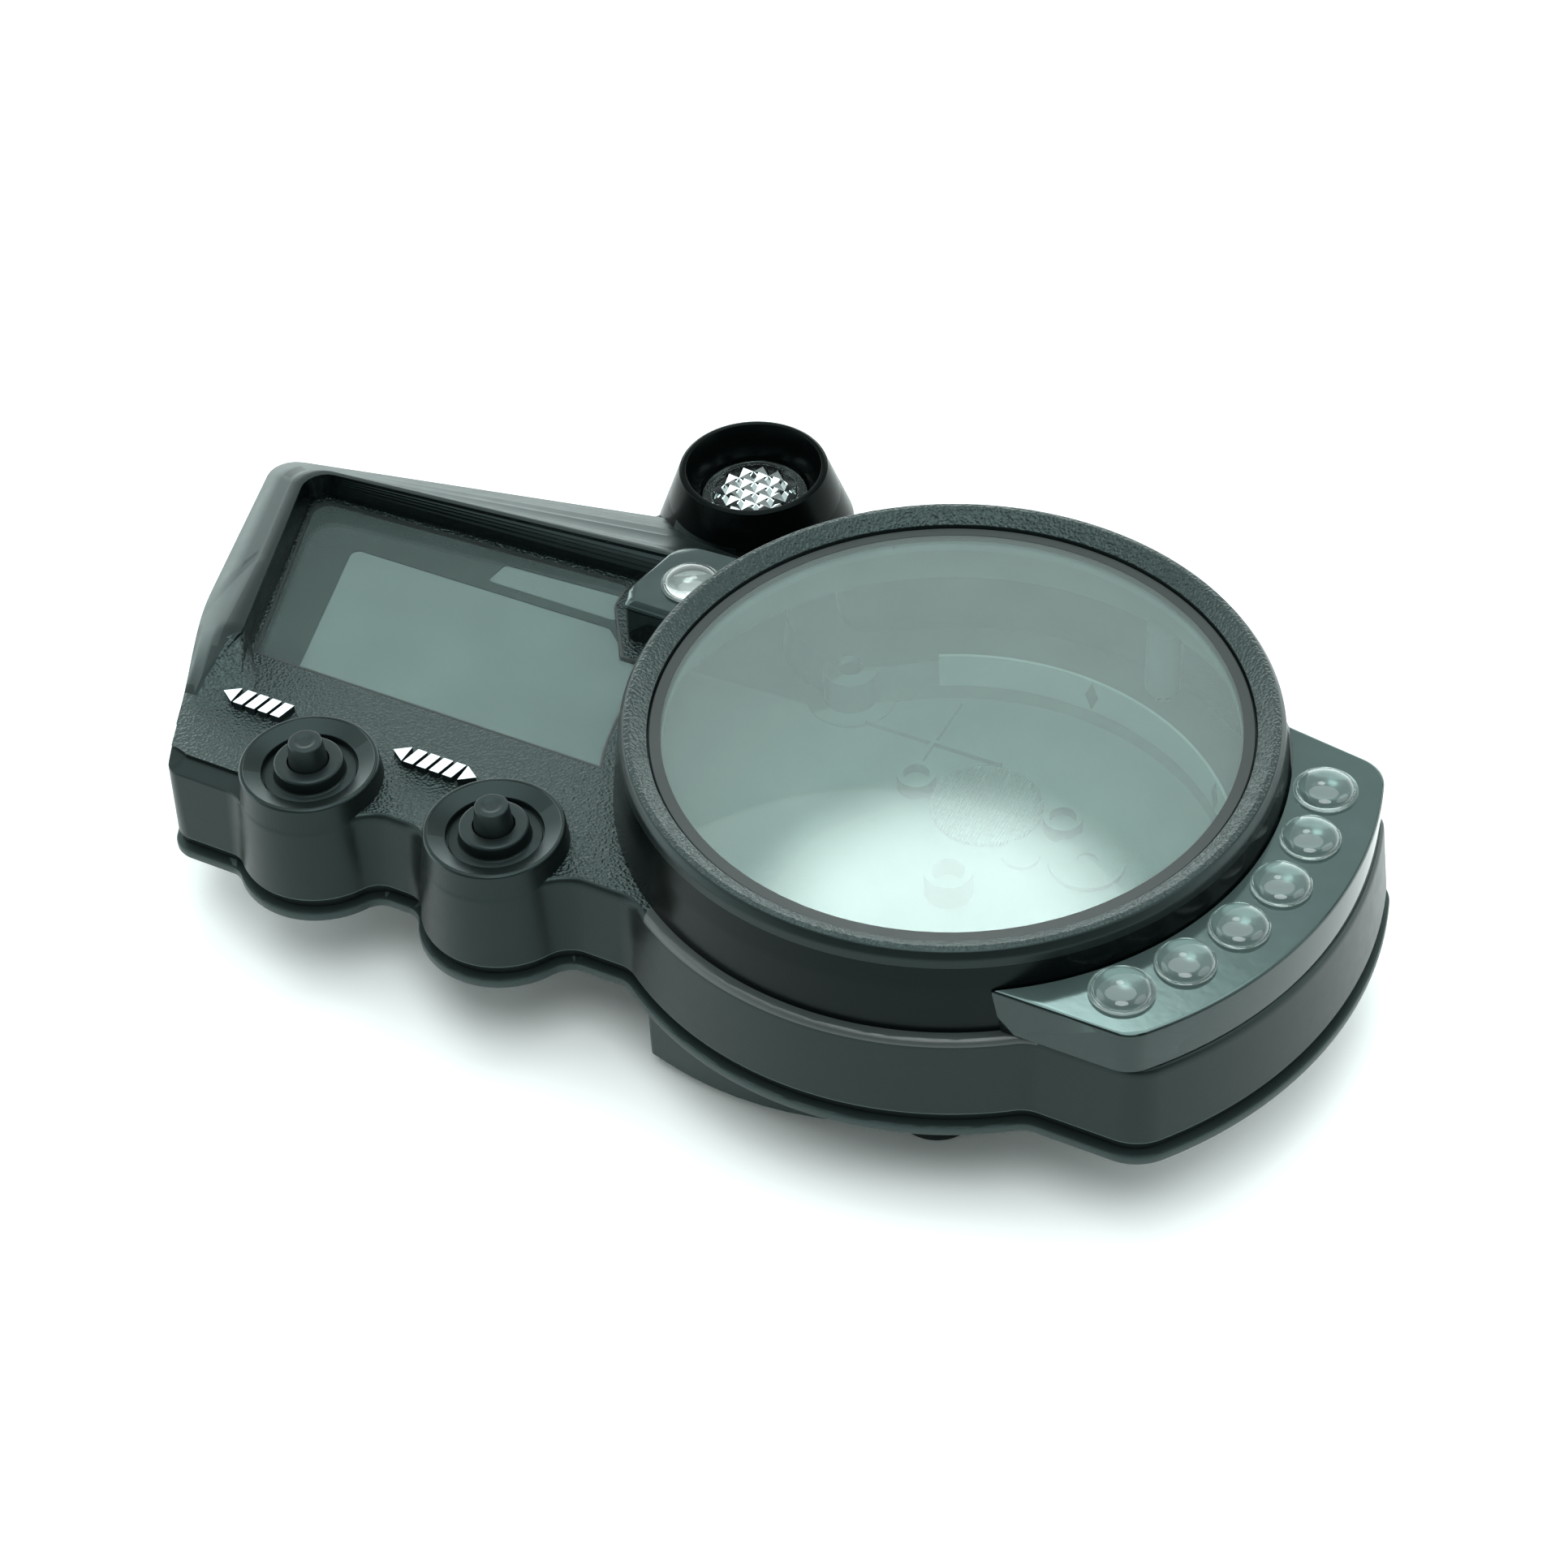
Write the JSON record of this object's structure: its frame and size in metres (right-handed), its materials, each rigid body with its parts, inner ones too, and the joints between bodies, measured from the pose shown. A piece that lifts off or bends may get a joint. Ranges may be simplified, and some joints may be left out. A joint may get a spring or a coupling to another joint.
{
  "type": "motorcycle instrument cluster",
  "caption": "Motorcycle instrument cluster case: round rev-counter drum, display window, row of warning-lamp domes, hooded shift light and spring-return push buttons on a gasketed rear case.",
  "frame": {"origin": "centre of the bounding box at its base, the plane the rubber mounts rest on", "axes": "+X along the case from the display end towards the indicator lamps, +Y from the push buttons towards the shift light, +Z out of the rev-counter lens"},
  "size_m": [0.2356, 0.1332, 0.0565],
  "materials": {
    "cover_black": "satin moulded",
    "case_black": "matt moulded",
    "black_rubber": "matt",
    "smoked_plastic": "gloss, see-through",
    "clear_window": "gloss, clear",
    "clear_lens": "gloss, clear",
    "reflector_silver": "vacuum-metallised",
    "zinc_steel": "zinc plated",
    "breather_grey": "fine mesh"
  },
  "bodies": {
    "case": {"breather_mesh": "breather_grey", "case_gasket": "black_rubber", "case_screw_1": "zinc_steel", "case_screw_2": "zinc_steel", "case_screw_3": "zinc_steel", "case_screw_4": "zinc_steel", "case_screw_5": "zinc_steel", "case_screw_6": "zinc_steel", "case_screw_7": "zinc_steel", "connector_boot": "black_rubber", "front_cover": "cover_black", "indicator_lens_1": "clear_lens", "indicator_lens_2": "clear_lens", "indicator_lens_3": "clear_lens", "indicator_lens_4": "clear_lens", "indicator_lens_5": "clear_lens", "indicator_lens_6": "clear_lens", "indicator_pod": "smoked_plastic", "indicator_strip": "smoked_plastic", "lcd_lens": "clear_window", "mount_collar_1": "zinc_steel", "mount_collar_2": "zinc_steel", "mount_collar_3": "zinc_steel", "mount_grommet_1": "black_rubber", "mount_grommet_2": "black_rubber", "mount_grommet_3": "black_rubber", "pod_lens": "clear_lens", "rear_case": "case_black", "reset_boot": "black_rubber", "reset_retainer": "case_black", "reset_spring": "zinc_steel", "select_boot": "black_rubber", "select_retainer": "case_black", "select_spring": "zinc_steel", "shift_light_hood": "cover_black", "shift_light_lens": "clear_lens", "shift_light_reflector": "reflector_silver", "tach_bezel": "cover_black", "tach_lens": "clear_window"},
    "reset_button": {"reset_button": "black_rubber"},
    "select_button": {"select_button": "black_rubber"}
  },
  "joints": [
    {"name": "reset_press", "type": "slide", "parent": "case", "child": "reset_button", "axis": [0, 0, -1], "range_m": [0, 0.002], "stiffness_N_per_m": 300, "springref_m": -0.0015, "deforming": ["reset_spring"]},
    {"name": "select_press", "type": "slide", "parent": "case", "child": "select_button", "axis": [0, 0, -1], "range_m": [0, 0.002], "stiffness_N_per_m": 300, "springref_m": -0.0015, "deforming": ["select_spring"]}
  ]
}
